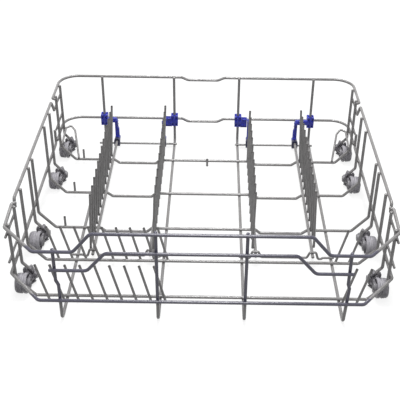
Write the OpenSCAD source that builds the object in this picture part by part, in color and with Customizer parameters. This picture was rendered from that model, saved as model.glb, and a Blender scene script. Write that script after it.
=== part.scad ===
// Lower rack of a dishwasher, welded from coated wire, with rollers and folding plate tines.
// Origin: middle of the rack's footprint, on the floor it stands on. +X is across, +Y to the rear, +Z up.

/* [Overall] */
// Distance between the centre lines of the two side rails
rail_span = 508.8; // [420:1:560]
// Distance between the centre lines of the front and rear rim wires
rack_depth = 491.3; // [440:1:560]
// Height of the side rails and the rear rim above the floor
rail_height = 128; // [110:1:170]
// Height of the low outer parts of the front rim
front_rim_height = 117; // [100:1:150]
// Rise of the handle part of the front rim over its low parts
handle_rise = 28.3; // [10:0.5:40]
// Height of the lower ring along the sides and the rear
ring_height = 48; // [40:1:70]
// Drop of the lower ring where it crosses the front
ring_front_drop = 10; // [0:0.5:14]
// Size in X and Y of the slanting front corners
corner_cut = 42.5; // [25:0.5:42.5]
// Bend radius of the rounded rear corners
rear_corner_radius = 32; // [15:1:50]

/* [Wires] */
// Diameter of the coated frame wires
frame_wire = 4.5; // [3.5:0.1:5.4]
// Diameter of the thin coated wires
thin_wire = 3.5; // [2.5:0.1:4]
// Diameter of the tines
tine_wire = 3.6; // [2.5:0.1:4.2]
// Bend radius of the frame wires
bend_radius = 6; // [4:0.5:10]
// Bend radius of the thin hinge wires
small_bend = 2.6; // [2.2:0.1:3]
// How far two welded wires sink into each other
weld_sink = 0.1; // [0:0.05:0.2]

/* [Floor] */
// Distance from the middle to the outer floor runs
outer_run_x = 187; // [184:1:192]
// Distance from the middle to the inner floor runs
inner_run_x = 57; // [40:1:60]
// Sideways jog in the front legs of the outer floor runs
run_jog = 3; // [1.5:0.5:4]
// Width of the slanting feet between the flat floor and a side wall
foot_width = 24; // [18:1:40]
// Height at which the side uprights bend in towards the floor
foot_bend_height = 35; // [28:1:40]
// Distance of the first cross wire in front of the rear rim
cross_1_back = 83.4; // [80:0.2:87]
// Y of the second cross wire
cross_2_y = 56.25; // [50:0.25:64]
// Y of the third cross wire
cross_3_y = -41.25; // [-46:0.25:-36]
// Distance of the fourth cross wire behind the fifth
cross_4_gap = 78.7; // [74.5:0.1:81.4]
// Distance of the fifth cross wire behind the front rim
cross_5_back = 45.2; // [45.2:0.1:49]
// Distance of the rearmost short upright in front of the rear rim
upright_back = 42.4; // [39:0.2:45]
// Distance of the frontmost short upright behind the fifth cross wire
upright_gap = 37; // [36:0.5:44]
// Y of the second short upright
upright_2_y = 100.75; // [95:0.25:108]
// Y of the third short upright
upright_3_y = -65.75; // [-72:0.25:-62]

/* [Front bar] */
// Height of the low ends of the front bar
bar_height = 87.8; // [80:0.2:92]
// Rise of the middle part of the front bar
bar_rise = 28; // [10:0.5:30]
// Half length of the front bar
bar_half = 193; // [191:1:205]
// Half length of the raised part of the front rim
handle_half = 137.5; // [100:0.5:150]
// Half length of the raised part of the front bar
bar_raised_half = 121; // [80:1:130]

/* [Folding tine rows] */
// Distance from the middle to the outer folding rows
outer_comb_x = 160; // [157:0.5:164]
// Distance from the middle to the inner folding rows
inner_comb_x = 77; // [75:0.5:78]
// Spacing of the tines along a folding row
comb_pitch = 22.6; // [20:0.1:23]
// Distance from the hinge wires back to the first tines, halfway between two facing rows
first_tine_back = 6.85; // [5.9:0.05:10]
// Distance along Y between the tines of two facing rows, so that both rows can fold
pair_offset = 4.2; // [4.1:0.1:6]
// Length of a folding tine above its base wire
comb_height = 96.5; // [60:0.5:98]
// Lean of the standing tines of row 1 to the right, in degrees
lean_1 = 3.3; // [-4:0.1:4]
// Lean of the standing tines of row 2 to the right, in degrees
lean_2 = 2.6; // [-4:0.1:4]
// Lean of the standing tines of row 3 to the right, in degrees
lean_3 = 0.6; // [-4:0.1:4]
// Lean of the standing tines of row 4 to the right, in degrees
lean_4 = -2.7; // [-4:0.1:4]
// Length of a folding row's rear end without tines, in front of the rear wire
row_free = 46; // [30:1:60]
// Length of the release levers above the base wire
lever_length = 40; // [32:0.5:40]

/* [Fixed tines] */
// Spacing of the fixed tines
fixed_pitch = 19.75; // [18:0.25:20]
// Height of the fixed tines above the cross wire
fixed_height = 55; // [30:1:70]
// Distance of the outermost left fixed tine from the edge of the flat floor
left_edge = 17.5; // [12:0.5:30]
// Distance of the outermost right fixed tine from the edge of the flat floor
right_edge = 13.5; // [10:0.5:30]
// Outward lean of the fixed tines, in degrees
fixed_lean = 13.5; // [5:0.5:18]
// Tines in each fixed row on the left
left_count = 9; // [3:1:9]
// Tines in each fixed row on the right
right_count = 2; // [1:1:2]
// Height of the short pegs above the cross wires
peg_height = 16.5; // [8:0.5:30]

/* [Rollers] */
// Radius of the rollers
roller_radius = 14.4; // [12:0.1:14.6]
// Width of the rollers
roller_width = 16; // [12:0.5:18]
// Distance from a side rail's centre line in to the inner faces of its rollers
roller_inset = 14.4; // [13.8:0.1:15]
// How far the tread falls away towards the outer face
crown = 1; // [0.2:0.1:1.6]
// Radius of the axle pins
axle_radius = 3; // [2.4:0.1:3.6]
// Distance of a roller in front of its short upright
roller_lead = 19.5; // [18.6:0.1:19.6]
// Running clearance between an axle pin and its roller
axle_clearance = 0.05; // [0.02:0.01:0.1]

/* [Clips] */
// Height of the blue retainer blocks
retainer_height = 20; // [18:0.5:26]
// Running clearance of the hinge bearings
bearing_clearance = 0.05; // [0.02:0.01:0.1]

/* [Hidden] */
$fn = 48;
frame_r = frame_wire / 2;
thin_r = thin_wire / 2;
tine_r = tine_wire / 2;
touch = frame_wire - weld_sink;
thin_touch = frame_r + thin_r - weld_sink;
tine_touch = frame_r + tine_r - weld_sink;
clip_play = 0.02;
rail_x = rail_span / 2;
upright_x = rail_x - touch;
floor_half = upright_x - foot_width;
rear_y = rack_depth / 2;
front_y = -rack_depth / 2;
run_rear_y = rear_y - touch;
run_front_y = front_y + touch;
run_z = roller_radius - 10.4;
cross_z = run_z + touch;
dip_z = frame_r;
thin_z = run_z + thin_touch;
cross_5_y = front_y + cross_5_back;
cross_4_y = cross_5_y + cross_4_gap;
cross_1_y = rear_y - cross_1_back;
cross_y = [cross_1_y, cross_2_y, cross_3_y, cross_4_y, cross_5_y];
short_y = [rear_y - upright_back, upright_2_y, upright_3_y, cross_5_y + upright_gap];
corner_y = front_y + corner_cut;
corner_x = rail_x - corner_cut;
front_leg_y = short_y[3] + 7;
leg_fall = rail_height - front_rim_height;
leg_length = front_leg_y - corner_y;
leg_z = rail_height - leg_fall * leg_length / (leg_length + corner_cut * 1.414);
slope_z = foot_bend_height - cross_z;
slope_angle = atan2(foot_width, slope_z);
base_z = cross_z + frame_wire + 0.34;
comb_x = [-outer_comb_x, -inner_comb_x, inner_comb_x, outer_comb_x];
comb_out = [-1, 1, -1, 1];
hinge_y = cross_4_y + 13;
rear_wire_y = rear_y - 24.4;
first_y = hinge_y + first_tine_back;
comb_first = [first_y - pair_offset / 2, first_y + pair_offset / 2,
    first_y + comb_pitch / 2 - pair_offset / 2, first_y + comb_pitch / 2 + pair_offset / 2];
comb_count = [for (y = comb_first) floor((rear_wire_y - row_free - y) / comb_pitch) + 1];
comb_tilt = [lean_1, lean_2, lean_3, lean_4];
hump_z = base_z + frame_r + 0.3 + thin_r;
roller_in = rail_x - roller_inset;
short_end_x = roller_in - 1.5;
short_end_z = cross_z + (short_end_x - floor_half) * slope_z / foot_width;
pin_end = roller_in + roller_width + 0.3;
sleeve_side = roller_lead - roller_radius - 0.4;
run_1_x = -outer_run_x + 1.5 * run_jog;
wire_x = [run_1_x, -inner_run_x, inner_run_x, outer_run_x];
block_half = 6.1;

// Direction of a vector, at length 1
function unit(v) = v / norm(v);

// How much of a straight run a bend takes
function trim(a, p, b, bend) = bend * tan(acos(unit(p - a) * unit(b - p)) / 2);

// A path mirrored to the right and joined to itself
function both_sides(half) = concat(half, [for (i = [len(half) - 1 : -1 : 0]) [-half[i][0], half[i][1], half[i][2]]]);

// A straight round rod from one point to another
module rod(a, b, r) {
    v = b - a;
    translate(a)
        rotate([0, acos(v[2] / norm(v)), atan2(v[1], v[0])])
            cylinder(r = r, h = norm(v));
}

// The bent part of a wire at corner p, a hair thicker than the rods that run into it
module elbow(a, p, b, r, bend) {
    d1 = unit(p - a);
    d2 = unit(b - p);
    turn = acos(d1 * d2);
    n = unit(d2 - (d1 * d2) * d1);
    c = p - d1 * bend * tan(turn / 2) + n * bend;
    z = cross(-n, d1);
    multmatrix([[-n[0], d1[0], z[0], c[0]], [-n[1], d1[1], z[1], c[1]], [-n[2], d1[2], z[2], c[2]], [0, 0, 0, 1]])
        rotate_extrude(angle = turn)
            translate([bend, 0])
                circle(r = r + 0.03);
}

// A bent wire through a list of points, with one bend radius for each inner point
module bent_wire(pts, r, bends) {
    n = len(pts);
    for (i = [0 : n - 2]) {
        a = pts[i];
        b = pts[i + 1];
        d = unit(b - a);
        s = i == 0 ? 0 : trim(pts[i - 1], a, b, bends[i - 1]) - 0.2;
        e = i == n - 2 ? 0 : trim(a, b, pts[i + 2], bends[i]) - 0.2;
        rod(a + d * s, b - d * e, r);
    }
    for (i = [1 : n - 2])
        elbow(pts[i - 1], pts[i], pts[i + 1], r, bends[i - 1]);
}

// The same bend radius at every inner point
function same(pts, bend) = [for (i = [1 : len(pts) - 2]) bend];

// Points of the rear outline at a height, from the left leg's end to the right leg's end
function rear_outline(z, ends) = concat(ends, [
    [-rail_x, rear_y, z],
    [-43.5, rear_y, z],
    [-32.5, rear_y - 10.4, z],
    [20, rear_y - 10.4, z],
    [31, rear_y, z],
    [rail_x, rear_y, z]],
    [for (i = [len(ends) - 1 : -1 : 0]) [-ends[i][0], ends[i][1], z]]);

module rim_rear() {
    pts = rear_outline(rail_height, [[-rail_x + 5, cross_1_y - 9, rail_height], [-rail_x, cross_1_y - 6, rail_height]]);
    color("gray") bent_wire(pts, frame_r, [3.2, rear_corner_radius, 7, 7, 7, 7, rear_corner_radius, 3.2]);
}

module ring_rear() {
    pts = rear_outline(ring_height - 1, [[-rail_x, cross_1_y - 3, ring_height - 1]]);
    color("gray") bent_wire(pts, frame_r, [rear_corner_radius, 7, 7, 7, 7, rear_corner_radius]);
}

module rail(side) {
    pts = [
        [side * (rail_x - 4), cross_1_y - 20.5, rail_height - 15],
        [side * rail_x, cross_1_y - 20, rail_height],
        [side * rail_x, short_y[3] + 21.5, rail_height],
        [side * rail_x, short_y[3] + 21, rail_height - 14]];
    color("gray") bent_wire(pts, frame_r, same(pts, 4));
}

module rail_left() rail(-1);

module rail_right() rail(1);

module rim_front() {
    half = [
        [-rail_x + 5, front_leg_y + 3, rail_height],
        [-rail_x, front_leg_y, rail_height],
        [-rail_x, corner_y, leg_z],
        [-corner_x, front_y, front_rim_height],
        [-handle_half - 23.5, front_y, front_rim_height],
        [-handle_half, front_y, front_rim_height + handle_rise]];
    color("gray") bent_wire(both_sides(half), frame_r, [3.2, 5, 8, 9, 9, 9, 9, 8, 5, 3.2]);
}

module bar_front() {
    half = [
        [-bar_half, front_y, bar_height],
        [-bar_raised_half - 24, front_y, bar_height],
        [-bar_raised_half, front_y, bar_height + bar_rise]];
    color("gray") bent_wire(both_sides(half), frame_r, [9, 9, 9, 9]);
}

module ring_lower() {
    half = [
        [-rail_x, cross_1_y - 14, ring_height + 24],
        [-rail_x, cross_1_y - 14.5, ring_height],
        [-rail_x, corner_y, ring_height],
        [-corner_x, front_y, ring_height - ring_front_drop]];
    color("gray") bent_wire(both_sides(half), frame_r, [5, 5, 8, 8, 5, 5]);
}

// A cross wire: down one side, over the floor and up the other side
module cross_wire(y, top, dips) {
    start = [[-upright_x, y, top], [-upright_x, y, foot_bend_height], [-floor_half, y, cross_z]];
    dip = [
        [-outer_comb_x + 1.5, y, cross_z],
        [-outer_comb_x + 10, y, dip_z],
        [-inner_comb_x - 9.5, y, dip_z],
        [-inner_comb_x - 2.5, y, cross_z]];
    half = dips ? concat(start, dip) : start;
    bends = dips ? [bend_radius, bend_radius, 4.5, 4.5, 4.5, 4.5] : [bend_radius, bend_radius];
    color("gray") bent_wire(both_sides(half), frame_r, concat(bends, [for (i = [len(bends) - 1 : -1 : 0]) bends[i]]));
}

module cross_1() cross_wire(cross_y[0], rail_height + 1, true);

module cross_2() cross_wire(cross_y[1], rail_height + 1, true);

module cross_3() cross_wire(cross_y[2], rail_height + 1, true);

module cross_4() cross_wire(cross_y[3], rail_height + 1, false);

module cross_5() cross_wire(cross_y[4], leg_z + 1.3, false);

// A floor run: down at the rear, along the floor and straight up at the front
module inner_run(x) {
    pts = [
        [x, run_rear_y, rail_height + 1],
        [x, run_rear_y, run_z],
        [x, run_front_y, run_z],
        [x, run_front_y, front_rim_height + handle_rise + 1]];
    color("gray") bent_wire(pts, frame_r, [8, bend_radius]);
}

// An outer floor run, whose front leg is offset above a knee beside the lower ring
module outer_run(rear_x, foot_x, knee_x, top_x) {
    pts = [
        [rear_x, run_rear_y, rail_height + 1],
        [rear_x, run_rear_y, run_z],
        [foot_x, run_front_y, run_z],
        [knee_x, run_front_y, ring_height + 13],
        [top_x, run_front_y, ring_height + 20],
        [top_x, run_front_y, front_rim_height + 1]];
    color("gray") bent_wire(pts, frame_r, [8, bend_radius, 5, 5]);
}

module run_1() outer_run(run_1_x, -outer_run_x + run_jog, -outer_run_x + run_jog, -outer_run_x);

module run_2() inner_run(-inner_run_x);

module run_3() inner_run(inner_run_x);

module run_4() outer_run(outer_run_x, outer_run_x + 1, outer_run_x + run_jog + 0.8, outer_run_x + 1.5);

// The short uprights of one side, which end in the roller carriers
module uprights(side) {
    for (i = [0 : 3]) {
        top = i == 3 ? rail_height + 0.4 : rail_height + 1;
        pts = [
            [side * upright_x, short_y[i], top],
            [side * upright_x, short_y[i], foot_bend_height],
            [side * short_end_x, short_y[i], short_end_z]];
        color("gray") bent_wire(pts, frame_r, [bend_radius]);
    }
}

module uprights_left() uprights(-1);

module uprights_right() uprights(1);

// Short level wires that tie each corner's two uprights together
module side_stubs() {
    x = upright_x + thin_touch;
    for (side = [-1, 1]) {
        for (z = [ring_height + 21, ring_height + 58])
            color("gray") rod([side * x, cross_1_y - 6, z], [side * x, short_y[0] + 12, z], thin_r);
        for (z = [ring_height + 21, ring_height + 61.5])
            color("gray") rod([side * x, cross_5_y - 6.5, z], [side * x, short_y[3] + 10, z], thin_r);
    }
}

// A looped wire that ties the rear upright to the floor, beside the rear roller
module stay(side) {
    x = upright_x - thin_touch;
    pts = [
        [side * x, cross_1_y - 5, ring_height - 6],
        [side * x, short_y[0], ring_height - 0.5],
        [side * (x - 8), short_y[0] + 7, ring_height],
        [side * (x - 15.5), short_y[0] - 1, ring_height - 5],
        [side * (x - 26), cross_1_y - 2, cross_z + thin_touch + 0.3]];
    color("gray") bent_wire(pts, thin_r, [3.2, 3.2, 3.2]);
}

module stay_left() stay(-1);

module stay_right() stay(1);

// Points of the front hinge wire where it loops over one folding row's base wire
function hump(x, out) = [
    [x + out * 15.5, hinge_y, thin_z],
    [x + out * 13, hinge_y, thin_z - 2],
    [x + out * 8.5, hinge_y, thin_z - 2],
    [x + out * 4.8, hinge_y, hump_z],
    [x - out * 4, hinge_y, hump_z],
    [x - out * 8, hinge_y, thin_z]];

module hinge_wire(side) {
    outer = hump(side * outer_comb_x, side);
    inner = hump(side * inner_comb_x, -side);
    pts = concat(
        [[side * (outer_run_x + 4), hinge_y, thin_z]], outer,
        [for (i = [5 : -1 : 0]) inner[i]],
        [[side * (inner_run_x - 4), hinge_y, thin_z]]);
    color("gray") bent_wire(pts, thin_r, same(pts, small_bend));
}

module hinge_wire_left() hinge_wire(-1);

module hinge_wire_right() hinge_wire(1);

module rear_wire(side) {
    color("gray")
        rod([side * (inner_run_x - 4), rear_wire_y, thin_z], [side * (outer_run_x + 4), rear_wire_y, thin_z], thin_r);
}

module rear_wire_left() rear_wire(-1);

module rear_wire_right() rear_wire(1);

// One row of slanting fixed tines, welded to the side of a cross wire
module fixed_row(y, side, count, first, low) {
    rise = cross_z + fixed_height - low;
    for (i = [0 : count - 1]) {
        x = first - i * fixed_pitch;
        color("gray") rod([side * x, y, low], [side * (x + rise * tan(fixed_lean)), y, low + rise], tine_r);
    }
}

module fixed_tines_rear() {
    y = cross_4_y + tine_touch;
    fixed_row(y, -1, left_count, floor_half - left_edge, cross_z - 2);
    fixed_row(y, 1, right_count, floor_half - right_edge, cross_z - 2);
}

module fixed_tines_front() {
    y = cross_5_y - tine_touch;
    fixed_row(y, -1, left_count, floor_half - left_edge - 1, cross_z - 4);
    fixed_row(y, 1, right_count, floor_half - right_edge - 1, cross_z - 4);
}

// Short pegs on the left floor and one under the middle of the first cross wire
module pegs() {
    x = -floor_half + 13.8;
    for (y = [for (i = [0 : 2]) cross_y[i] + tine_touch])
        color("gray") rod([x, y, cross_z - 2], [x, y, cross_z + peg_height], tine_r);
    color("gray") rod([3, cross_1_y - tine_touch, 0.4], [3, cross_1_y - tine_touch, cross_z + 5.5], tine_r);
}

// A small bearing that holds one folding row's base wire on the thin rear wire
module bearing(x) {
    color("midnightblue")
        difference() {
            union() {
                translate([x, rear_wire_y - 4, base_z])
                    rotate([-90, 0, 0])
                        cylinder(r = frame_r + 3.2, h = 8);
                translate([x - frame_r - 2.9, rear_wire_y - 4, thin_z - thin_r - 2.2])
                    cube([2 * frame_r + 5.8, 8, base_z - thin_z + thin_r + 2.2]);
            }
            translate([x, rear_wire_y - 5, base_z])
                rotate([-90, 0, 0])
                    cylinder(r = frame_r + bearing_clearance, h = 10);
            translate([x - 9, rear_wire_y, thin_z])
                rotate([0, 90, 0])
                    cylinder(r = thin_r + clip_play, h = 18);
            translate([x - 9, rear_wire_y - thin_r * 0.75, 0])
                cube([18, thin_r * 1.5, thin_z]);
        }
}

module bearings() {
    for (x = comb_x)
        bearing(x);
}

// One folding row: a base wire and the tines welded along its outer side
module comb(i) {
    x = comb_x[i];
    translate([x, 0, base_z])
        rotate([0, comb_tilt[i], 0]) {
            color("dimgray") rod([0, hinge_y - 6, 0], [0, rear_wire_y + 11, 0], frame_r);
            for (k = [0 : comb_count[i] - 1])
                color("dimgray")
                    translate([comb_out[i] * (frame_r + tine_r + clip_play), comb_first[i] + k * comb_pitch, -1])
                        cylinder(r = tine_r, h = comb_height + 1);
        }
}

module comb_1() comb(0);

module comb_2() comb(1);

module comb_3() comb(2);

module comb_4() comb(3);

// The blue lever on the rear end of a folding row's base wire
module lever(i) {
    color("royalblue")
        translate([comb_x[i], 0, base_z])
            difference() {
                union() {
                    translate([0, rear_wire_y + 4.6, 0])
                        rotate([-90, 0, 0])
                            cylinder(r = 5, h = 10);
                    translate([-3.5, rear_wire_y + 7.6, 0])
                        cube([7, 6.4, lever_length]);
                    translate([-3, rear_wire_y + 5.6, lever_length - 9])
                        cube([6, 3, 7]);
                }
                translate([0, rear_wire_y + 3, 0])
                    rotate([-90, 0, 0])
                        cylinder(r = frame_r + clip_play, h = 8.2);
            }
}

module lever_1() lever(0);

module lever_2() lever(1);

module lever_3() lever(2);

module lever_4() lever(3);

// The blue block that snaps on a rear upright and the ring, and stops a lever when its row stands
module retainer(i) {
    x = wire_x[i];
    toward = sign(comb_x[i] - x);
    inner = i == 1 || i == 2;
    mid_z = ring_height - 1;
    stop_x = comb_x[i] - toward * 4.1;
    root_x = x + toward * (block_half - 1);
    low = inner ? mid_z - 11 : mid_z - 3.5;
    tall = inner ? 17.5 : 8;
    deep = inner ? 9 : 6;
    color("royalblue")
        difference() {
            union() {
                translate([x - block_half, run_rear_y - 6.5, mid_z - retainer_height / 2])
                    cube([2 * block_half, touch + frame_r + 6.5, retainer_height]);
                translate([min(root_x, stop_x), run_rear_y - 8.5, low])
                    cube([abs(stop_x - root_x), deep, tall]);
            }
            translate([x, run_rear_y, mid_z - 20])
                cylinder(r = frame_r + clip_play, h = 40);
            translate([x - frame_r * 0.8, run_rear_y, mid_z - 20])
                cube([frame_r * 1.6, 30, 40]);
            translate([x - 20, rear_y, mid_z])
                rotate([0, 90, 0])
                    cylinder(r = frame_r + clip_play, h = 40);
            translate([x - 20, rear_y, mid_z - frame_r * 0.8])
                cube([40, 20, frame_r * 1.6]);
        }
}

module retainer_1() retainer(0);

module retainer_2() retainer(1);

module retainer_3() retainer(2);

module retainer_4() retainer(3);

// A grooved roller with five round pockets in its outer face
module roller(i) {
    side = i < 4 ? -1 : 1;
    y = short_y[i % 4] - roller_lead;
    w = roller_width;
    r = roller_radius;
    web_in = axle_radius + 2.6;
    web_out = r - crown - 2.2;
    color("silver")
        translate([side * roller_in, y, roller_radius])
            rotate([0, side * 90, 0])
                difference() {
                    rotate_extrude()
                        polygon(concat([
                            [axle_radius + axle_clearance, 0],
                            [axle_radius + 3.2, 0],
                            [axle_radius + 3.2, 2.4],
                            [r - 2.4, 2.4],
                            [r - 2.4, 0],
                            [r - 0.8, 0],
                            [r, 0.8],
                            [r, 4.2],
                            [r - 1.8, 4.8],
                            [r - 1.8, 6.2],
                            [r - 0.2, 6.8]],
                            [for (t = [0 : 0.25 : 1]) [r - crown * pow(t, 2), 7.6 + t * (w - 9.4)]], [
                            [r - crown - 0.5, w - 1],
                            [r - crown - 1.4, w],
                            [web_out, w],
                            [web_out, w - 1],
                            [web_in, w - 1],
                            [web_in, w],
                            [axle_radius + axle_clearance, w]]));
                    for (k = [0 : 4])
                        rotate([0, 0, k * 72])
                            translate([(web_in + web_out) / 2, 0, w - 7])
                                cylinder(r = (web_out - web_in) / 2 - 0.5, h = 8);
                }
}

module roller_1() roller(0);

module roller_2() roller(1);

module roller_3() roller(2);

module roller_4() roller(3);

module roller_5() roller(4);

module roller_6() roller(5);

module roller_7() roller(6);

module roller_8() roller(7);

// A roller's carrier: a clip on the end of the short upright, a cheek and the axle pin
module carrier(i) {
    side = i < 4 ? -1 : 1;
    ys = short_y[i % 4];
    y = ys - roller_lead;
    cheek_in = roller_in - 3.2;
    cheek_out = roller_in - 0.3;
    low = roller_radius - 7.9;
    // The clip's side view, from the wire's end outward and up, with the snap finger over the wire
    clip = [
        [-3.5, low - short_end_z], [cheek_out - short_end_x, low - short_end_z],
        [cheek_out - short_end_x, -8], [6.8, 0.6], [0.7, 5.9], [-1.2, 5.2],
        [-2.9, -0.4], [-3.6, -2.4], [-6.2, -2.6], [-6.2, low + 2.7 - short_end_z]];
    // The outline of two ribs that brace the cheek against the clip, seen from above
    rib = [
        [-6.2, 1 - sleeve_side], [-0.8, -roller_lead + 8], [cheek_out - short_end_x, -roller_lead + 8],
        [cheek_out - short_end_x, 1 - sleeve_side]];
    color("darkgray")
        difference() {
            union() {
                translate([side * short_end_x, ys + 4.5, short_end_z])
                    rotate([90, 0, 0])
                        linear_extrude(height = sleeve_side + 4.5)
                            polygon([for (p = clip) [side * p[0], p[1]]]);
                for (z = [low - 1.5, low + 3.5])
                    translate([side * short_end_x, ys, z])
                        linear_extrude(height = 2)
                            polygon([for (p = rib) [side * p[0], p[1]]]);
                translate([side * (short_end_x - 8.2), ys, roller_radius - 0.2])
                    rotate([0, side * 90, 0])
                        cylinder(r = 5.2, h = 4);
                translate([side * (cheek_out + 4.4) - 5, ys - 2, roller_radius + 2])
                    cube([10, 4, 3]);
                translate([side * (cheek_out + 8) - 2.2, ys - 2, roller_radius + 2])
                    cube([4.4, 4, 6.9]);
                translate([side * (cheek_out + 8), ys - 2, roller_radius + 8.9])
                    rotate([-90, 0, 0])
                        cylinder(r = 2.2, h = 4);
                translate([side * cheek_in, ys, roller_radius + 0.6])
                    rotate([0, side * 90, 0])
                        cylinder(r = 6.4, h = 2.9);
                translate([side * cheek_in, y, roller_radius])
                    rotate([0, side * 90, 0])
                        cylinder(r = 8.4, h = 2.9);
                translate([side * (cheek_in + 1.45) - 1.45, y, roller_radius - 6.4])
                    cube([2.9, roller_lead, 13.2]);
                translate([side * cheek_in, y, roller_radius])
                    rotate([0, side * 90, 0])
                        cylinder(r = axle_radius, h = pin_end - cheek_in + 0.4);
                translate([side * pin_end, y, roller_radius])
                    rotate([0, side * 90, 0])
                        cylinder(r1 = axle_radius + 0.9, r2 = axle_radius - 0.2, h = 1.8);
            }
            translate([side * short_end_x, ys, short_end_z])
                rotate([0, side * slope_angle, 0]) {
                    cylinder(r = frame_r + clip_play, h = 40);
                    translate([side * 0.9 - 2.5, -9.4, -5.6])
                        cube([5, 9, 24]);
                }
        }
}

module carrier_1() carrier(0);

module carrier_2() carrier(1);

module carrier_3() carrier(2);

module carrier_4() carrier(3);

module carrier_5() carrier(4);

module carrier_6() carrier(5);

module carrier_7() carrier(6);

module carrier_8() carrier(7);

rim_rear();
rail_left();
rail_right();
rim_front();
bar_front();
ring_rear();
ring_lower();
cross_1();
cross_2();
cross_3();
cross_4();
cross_5();
run_1();
run_2();
run_3();
run_4();
uprights_left();
uprights_right();
side_stubs();
stay_left();
stay_right();
hinge_wire_left();
hinge_wire_right();
rear_wire_left();
rear_wire_right();
fixed_tines_rear();
fixed_tines_front();
pegs();
bearings();
comb_1();
comb_2();
comb_3();
comb_4();
lever_1();
lever_2();
lever_3();
lever_4();
retainer_1();
retainer_2();
retainer_3();
retainer_4();
roller_1();
roller_2();
roller_3();
roller_4();
roller_5();
roller_6();
roller_7();
roller_8();
carrier_1();
carrier_2();
carrier_3();
carrier_4();
carrier_5();
carrier_6();
carrier_7();
carrier_8();
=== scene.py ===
"""Dresses the lower rack of a dishwasher.

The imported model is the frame: its wires stay as they are and get their coating.
Weld fillets, rounded wire ends, rollers, carriers, clips and bearings are built on it.
"""
import math

import bmesh
import bpy
from bpy.props import FloatProperty, FloatVectorProperty, IntProperty, PointerProperty
from mathutils import Matrix, Vector
from mathutils.geometry import intersect_line_line


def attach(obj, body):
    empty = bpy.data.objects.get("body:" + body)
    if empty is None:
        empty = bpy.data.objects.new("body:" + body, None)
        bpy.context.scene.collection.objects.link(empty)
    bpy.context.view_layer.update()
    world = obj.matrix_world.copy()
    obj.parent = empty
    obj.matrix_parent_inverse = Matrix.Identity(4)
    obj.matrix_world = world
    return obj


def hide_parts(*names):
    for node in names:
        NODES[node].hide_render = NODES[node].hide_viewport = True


bl_info = {
    "name": "Dishwasher Lower Rack",
    "version": (1, 0, 0),
    "blender": (4, 5, 0),
    "location": "3D Viewport > Sidebar > Rack",
    "description": "Coated wires, weld fillets, wire ends, rollers, carriers and clips of a dishwasher rack",
    "category": "Add Mesh",
}

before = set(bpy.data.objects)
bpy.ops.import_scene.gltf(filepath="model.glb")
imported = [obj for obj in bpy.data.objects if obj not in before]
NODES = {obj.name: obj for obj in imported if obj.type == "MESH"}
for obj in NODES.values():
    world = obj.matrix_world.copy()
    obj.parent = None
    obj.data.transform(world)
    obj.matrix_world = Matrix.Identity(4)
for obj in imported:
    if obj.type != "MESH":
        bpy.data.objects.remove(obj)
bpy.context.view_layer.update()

MM = 0.001


def linear(code):
    """Linear colour of an sRGB hex code."""
    parts = [int(code[i:i + 2], 16) / 255 for i in (0, 2, 4)]
    return [c / 12.92 if c <= 0.04045 else ((c + 0.055) / 1.055) ** 2.4 for c in parts]


# ---------------------------------------------------------------- sizes of the frame, in mm

FRAME_R = 2.25
THIN_R = 1.75
TINE_R = 1.8
RAIL_X = 254.4
UPRIGHT_X = 250.0
REAR_Y = 245.65
FRONT_Y = -245.65
LEG_Y = 241.25
RUN_Z = 4.0
CROSS_Z = 8.4
DIP_Z = 2.25
THIN_Z = 7.9
BASE_Z = 13.24
FLOOR_HALF = 226.0
FOOT_Z = 35.0
RIM_Z = 128.0
RING_Z = 48.0
CORNER_X = 211.9
CORNER_Y = -203.15
LEG_Z = 124.25
CROSS_Y = (162.25, 56.25, -41.25, -121.75, -200.45)
SHORT_Y = (203.25, 100.75, -65.75, -163.45)
COMB_X = (-160.0, -77.0, 77.0, 160.0)
COMB_OUT = (-1, 1, -1, 1)
COMB_FIRST = (-104.0, -99.8, -92.7, -88.5)
COMB_COUNT = (13, 13, 12, 12)
COMB_TILT = (3.3, 2.6, 0.6, -2.7)
COMB_PITCH = 22.6
COMB_HEIGHT = 96.5
HINGE_Y = -108.75
REAR_WIRE_Y = 221.25
FIXED_PITCH = 19.75
FIXED_LEAN = math.tan(math.radians(13.5))
ROLLER_IN = 240.0
ROLLER_R = 14.4
ROLLER_W = 16.0
ROLLER_LEAD = 19.5
CROWN = 1.0
SHORT_END_X = 238.5
SHORT_END_Z = 22.25
AXLE_R = 3.05
BLOCK_X = (-182.5, -57.0, 57.0, 187.0)
BLOCK_Z = 47.0
BLOCK_HALF = 6.1
LEVER_LENGTH = 40.0


class RackSizes(bpy.types.PropertyGroup):
    """Sizes of the pieces that the scene adds to the frame."""

    weld_reach: FloatProperty(
        name="Weld reach",
        description="How far the coating's fillet spreads from the middle of a weld",
        default=2.15 * MM, min=1.4 * MM, max=2.2 * MM, precision=5, unit="LENGTH",
    )
    weld_waist: FloatProperty(
        name="Weld waist",
        description="Distance from the middle of a weld to the hollow of its fillet",
        default=1.45 * MM, min=0.8 * MM, max=2.0 * MM, precision=5, unit="LENGTH",
    )
    tip_rise: FloatProperty(
        name="Tip rise",
        description="Height of the coating's dome on a wire end, as a share of the wire's radius",
        default=0.42, min=0.1, max=0.6, subtype="FACTOR",
    )
    mould_edge: FloatProperty(
        name="Moulded edge",
        description="Width of the rounding along the edges of moulded pieces",
        default=0.45 * MM, min=0.1 * MM, max=0.8 * MM, precision=5, unit="LENGTH",
    )
    tread_grooves: IntProperty(
        name="Tread grooves",
        description="Number of fine grooves round each roller's tread",
        default=3, min=0, max=6,
    )
    groove_depth: FloatProperty(
        name="Groove depth",
        description="Depth of the fine grooves in the tread",
        default=0.7 * MM, min=0.05 * MM, max=0.9 * MM, precision=5, unit="LENGTH",
    )
    spoke_count: IntProperty(
        name="Pockets",
        description="Number of round pockets in a roller's outer face",
        default=5, min=3, max=5,
    )


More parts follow.
